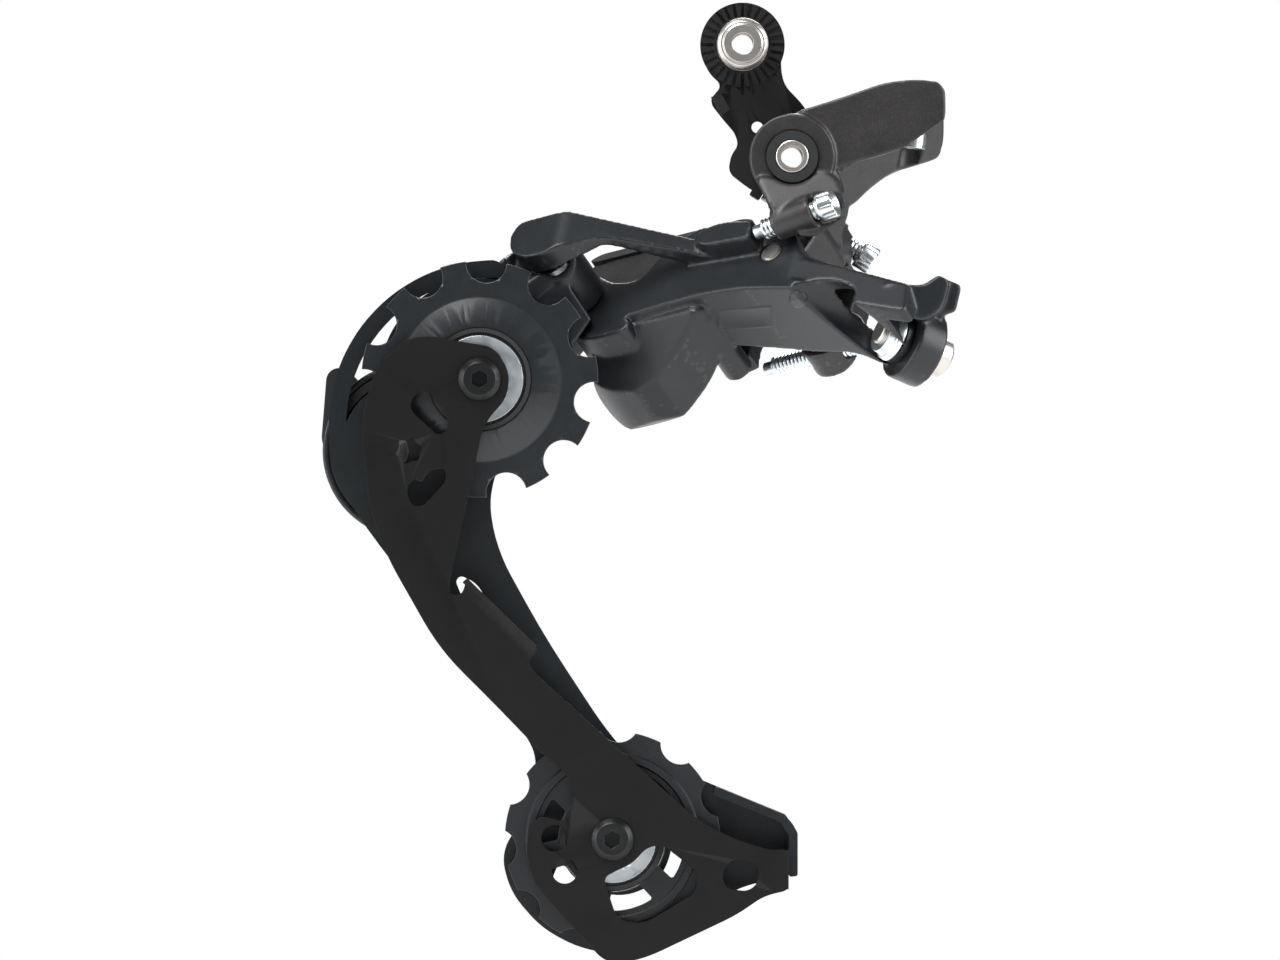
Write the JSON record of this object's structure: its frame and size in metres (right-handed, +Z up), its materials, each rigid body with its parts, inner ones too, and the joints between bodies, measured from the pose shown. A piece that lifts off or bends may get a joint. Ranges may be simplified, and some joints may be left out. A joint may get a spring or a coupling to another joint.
{
  "type": "rear bicycle derailleur",
  "caption": "Rear bicycle derailleur with a slanted parallelogram, a long sprung cage, toothed guide and tension pulleys and adjusting screws.",
  "frame": {"origin": "on the hanger bolt's axis, in the serrated face that meets the frame's hanger", "axes": "+X to the rear of the bicycle, +Z up, +Y outboard away from the wheel"},
  "size_m": [0.1239, 0.0667, 0.1858],
  "materials": {
    "black_steel": "satin black paint on pressed steel",
    "black_aluminium": "black anodised aluminium plate",
    "grey_casting": "dark grey paint with a fine metallic sparkle",
    "dark_casting": "dark blue-grey satin paint on an aluminium casting",
    "cover_plastic": "black fine-grained cover",
    "pulley_plastic": "black resin",
    "seal_rubber": "black rubber",
    "zinc_plate": "bright zinc plate",
    "stainless_steel": "satin stainless steel",
    "black_bolt": "black oxide steel",
    "bronze": "sintered bronze",
    "spring_steel": "spring wire"
  },
  "bodies": {
    "hanger_link": {"hanger_link": "black_steel", "hanger_bolt": "stainless_steel", "b_axle": "stainless_steel", "b_axle_clip": "black_bolt"},
    "bracket": {"bracket": "grey_casting", "b_axle_bush": "bronze", "cable_ferrule": "zinc_plate", "inner_rear_pin": "stainless_steel", "outer_rear_pin": "stainless_steel"},
    "b_tension_screw": {"b_tension_screw": "zinc_plate"},
    "high_limit_screw": {"high_limit_screw": "zinc_plate"},
    "low_limit_screw": {"low_limit_screw": "zinc_plate"},
    "inner_link": {"inner_link": "dark_casting", "cable_clamp_nut": "zinc_plate", "cable_clamp_plate": "black_bolt", "cable_clamp_bolt": "stainless_steel", "inner_front_pin": "stainless_steel"},
    "outer_link": {"outer_link": "grey_casting", "outer_link_cover": "cover_plastic"},
    "p_body": {"p_body": "dark_casting", "p_body_seal": "seal_rubber", "p_axle_bush": "bronze", "p_body_cap": "dark_casting", "cage_spring": "spring_steel", "return_spring": "spring_steel", "outer_front_pin": "stainless_steel"},
    "cage": {"inner_cage_plate": "black_steel", "outer_cage_plate": "black_aluminium", "p_axle": "stainless_steel", "p_axle_clip": "black_bolt", "cage_stop_pin": "stainless_steel", "guide_pulley_bush": "bronze", "guide_pulley_cap_inboard": "zinc_plate", "guide_pulley_cap_outboard": "zinc_plate", "guide_pulley_bolt": "black_bolt", "tension_pulley_bush": "bronze", "tension_pulley_cap_inboard": "zinc_plate", "tension_pulley_cap_outboard": "zinc_plate", "tension_pulley_bolt": "black_bolt"},
    "guide_pulley": {"guide_pulley": "pulley_plastic", "guide_pulley_seal": "seal_rubber"},
    "tension_pulley": {"tension_pulley": "pulley_plastic", "tension_pulley_seal": "seal_rubber"}
  },
  "joints": [
    {"name": "b_pivot", "type": "hinge", "parent": "hanger_link", "child": "bracket", "pos_m": [0.0095, 0, -0.022], "axis": [0, 1, 0], "range_deg": [-20, 0], "stiffness_Nm_per_rad": 0.5, "springref_deg": 51.57},
    {"name": "link_swing", "type": "hinge", "parent": "bracket", "child": "inner_link", "pos_m": [0.0089, -0.008, -0.0456], "axis": [-0.4581, -0.6018, 0.6542], "range_deg": [0, 64], "stiffness_Nm_per_rad": 0.3, "springref_deg": -68.75},
    {"name": "outer_link_swing", "type": "hinge", "parent": "bracket", "child": "outer_link", "pos_m": [0.00372, 0.00398, -0.03821], "axis": [-0.4581, -0.6018, 0.6542], "range_deg": [0, 64]},
    {"name": "p_body_pivot", "type": "hinge", "parent": "inner_link", "child": "p_body", "pos_m": [-0.02785, 0.01027, -0.05453], "axis": [-0.4581, -0.6018, 0.6542], "range_deg": [-64, 0]},
    {"name": "cage_pivot", "type": "hinge", "parent": "p_body", "child": "cage", "pos_m": [-0.06445, -0.01203, -0.07883], "axis": [0, 1, 0], "range_deg": [0, 110], "stiffness_Nm_per_rad": 0.12, "springref_deg": -126.05},
    {"name": "guide_pulley_spin", "type": "hinge", "parent": "cage", "child": "guide_pulley", "pos_m": [-0.05085, -0.01203, -0.06503], "axis": [0, 1, 0], "continuous": true},
    {"name": "tension_pulley_spin", "type": "hinge", "parent": "cage", "child": "tension_pulley", "pos_m": [-0.02523, -0.01203, -0.1538], "axis": [0, 1, 0], "continuous": true},
    {"name": "b_tension_screw_turn", "type": "hinge", "parent": "bracket", "child": "b_tension_screw", "pos_m": [0.0227, 0.0052, -0.0403], "axis": [-0.8471, 0, 0.5314], "continuous": true},
    {"name": "high_limit_screw_turn", "type": "hinge", "parent": "bracket", "child": "high_limit_screw", "pos_m": [0.01474, -0.01726, -0.03214], "axis": [-0.8889, 0.3147, -0.3329], "continuous": true},
    {"name": "low_limit_screw_turn", "type": "hinge", "parent": "bracket", "child": "low_limit_screw", "pos_m": [0.02213, -0.00449, -0.05817], "axis": [-0.8812, 0.4044, -0.245], "continuous": true}
  ],
  "couplings": [
    {"joint": "outer_link_swing", "follows": "link_swing", "ratio": 1},
    {"joint": "p_body_pivot", "follows": "link_swing", "ratio": -1}
  ]
}
